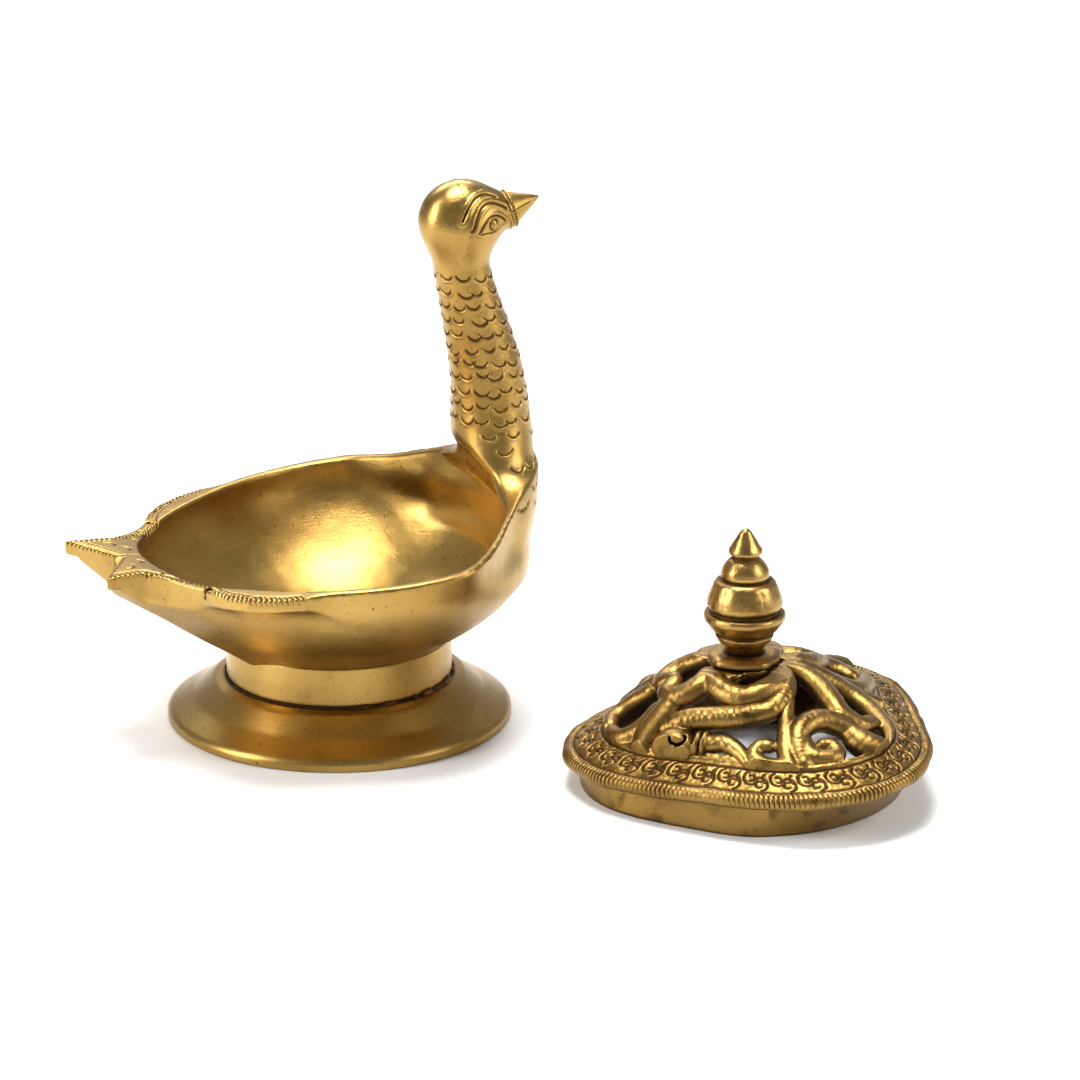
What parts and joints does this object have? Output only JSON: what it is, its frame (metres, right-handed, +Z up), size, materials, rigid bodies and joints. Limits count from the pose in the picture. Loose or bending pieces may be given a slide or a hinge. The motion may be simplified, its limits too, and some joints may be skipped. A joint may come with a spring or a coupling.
{
  "type": "bird-shaped oil lamp with lid",
  "caption": "Brass bird-shaped oil lamp bowl on a round pedestal, with a loose openwork lid and turned finial standing beside it.",
  "frame": {"origin": "centre of the round foot, on the surface it stands on", "axes": "+X towards the bird's beak, +Z up, lid standing on the -Y side"},
  "size_m": [0.2368, 0.2202, 0.1674],
  "materials": {
    "polished_brass": "hand polished, satin brush marks",
    "antique_brass": "cast, dark patina in the recesses, highlights rubbed bright",
    "finial_brass": "turned, lightly patinated",
    "braze": "rough brazing metal, dark with flux"
  },
  "bodies": {
    "bird": {"base_flange": "polished_brass", "pedestal_collar": "polished_brass", "collar_braze": "braze", "bowl": "polished_brass", "neck_head": "polished_brass", "beak": "polished_brass", "beak_ring": "polished_brass", "tail_lobe_left": "polished_brass", "tail_lobe_right": "polished_brass", "side_feather_left": "polished_brass", "side_feather_right": "polished_brass"},
    "lid": {"lid_border": "antique_brass", "lid_edge_bead": "antique_brass", "lid_skirt": "antique_brass", "jali_scrolls": "antique_brass", "jali_bird_left": "antique_brass", "jali_bird_right": "antique_brass", "lid_boss": "antique_brass", "finial": "finial_brass", "finial_nut": "finial_brass"}
  },
  "joints": [
    {"name": "lid_lift", "type": "slide", "parent": "bird", "child": "lid", "axis": [0, 0, 1], "range_m": [0, 0.2]}
  ]
}
